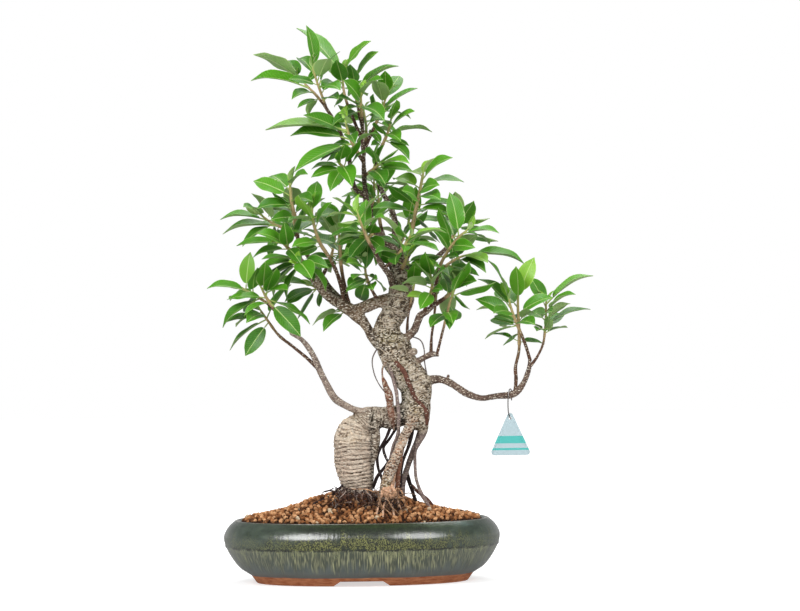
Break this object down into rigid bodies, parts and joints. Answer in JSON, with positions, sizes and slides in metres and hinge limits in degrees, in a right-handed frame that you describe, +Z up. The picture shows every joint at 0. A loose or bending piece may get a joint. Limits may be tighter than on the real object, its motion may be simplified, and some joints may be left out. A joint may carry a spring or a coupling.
{
  "type": "chinese banyan bonsai in an oval pot",
  "caption": "Miniature fig tree with a thick stump, aerial roots and arching branches of oval leaves, standing in grained soil in a low oval glazed bowl, with a small plant tag.",
  "frame": {"origin": "under the middle of the whole outline, on the surface that the pot stands on", "axes": "+Z up; -Y is the front of the tree; X along the pot's length, with the tagged branch on the +X side"},
  "size_m": [0.4268, 0.2472, 0.6175],
  "materials": {
    "pot_glaze": "dark green glaze with olive streaks over an unglazed terracotta foot",
    "soil": "baked clay grains, orange brown, matte",
    "bark": "grey-tan bark with pale lenticels, reddish aerial roots",
    "foliage": "glossy green leaf blades with pale ribs, on green to tan young stems",
    "mesh_plastic": "moulded black plastic",
    "tag_plastic": "pale grey plastic sheet",
    "hook_wire": "thin dull steel wire"
  },
  "bodies": {
    "root": {"pot": "pot_glaze", "soil": "soil", "drain_mesh_left": "mesh_plastic", "drain_mesh_right": "mesh_plastic", "tree_wood": "bark", "spray_top_far_left": "foliage", "spray_top_left": "foliage", "spray_top_middle": "foliage", "spray_top_inner": "foliage", "spray_leader_tip": "foliage", "spray_top_right": "foliage", "spray_right_upper": "foliage", "spray_left_big": "foliage", "spray_left_inner": "foliage", "spray_right_inner": "foliage", "spray_right_leader": "foliage", "spray_right_outer": "foliage", "spray_right_low_outer": "foliage", "spray_middle_tip": "foliage", "spray_middle_front": "foliage", "spray_low_right_a": "foliage", "spray_low_right_b": "foliage", "spray_crown_left": "foliage", "spray_crown_middle": "foliage", "spray_crown_right": "foliage", "spray_low_left_fork": "foliage", "spray_low_left_tip": "foliage", "spray_low_left_side": "foliage", "spray_left_high": "foliage", "spray_left_far": "foliage", "spray_left_fan": "foliage", "spray_left_droop": "foliage", "spray_left_under": "foliage", "spray_left_low_side": "foliage", "spray_centre_left": "foliage", "spray_centre": "foliage", "spray_centre_front": "foliage", "spray_centre_low": "foliage", "spray_trunk_front": "foliage", "spray_trunk_thin": "foliage", "spray_leader_low": "foliage", "spray_back_tip": "foliage", "spray_back_side": "foliage", "spray_back_left_tip": "foliage", "spray_back_left_side": "foliage", "spray_back_right_tip": "foliage", "spray_front_tip": "foliage", "spray_front_side": "foliage", "spray_leader_back": "foliage", "tag": "tag_plastic", "tag_hook": "hook_wire"}
  },
  "joints": []
}
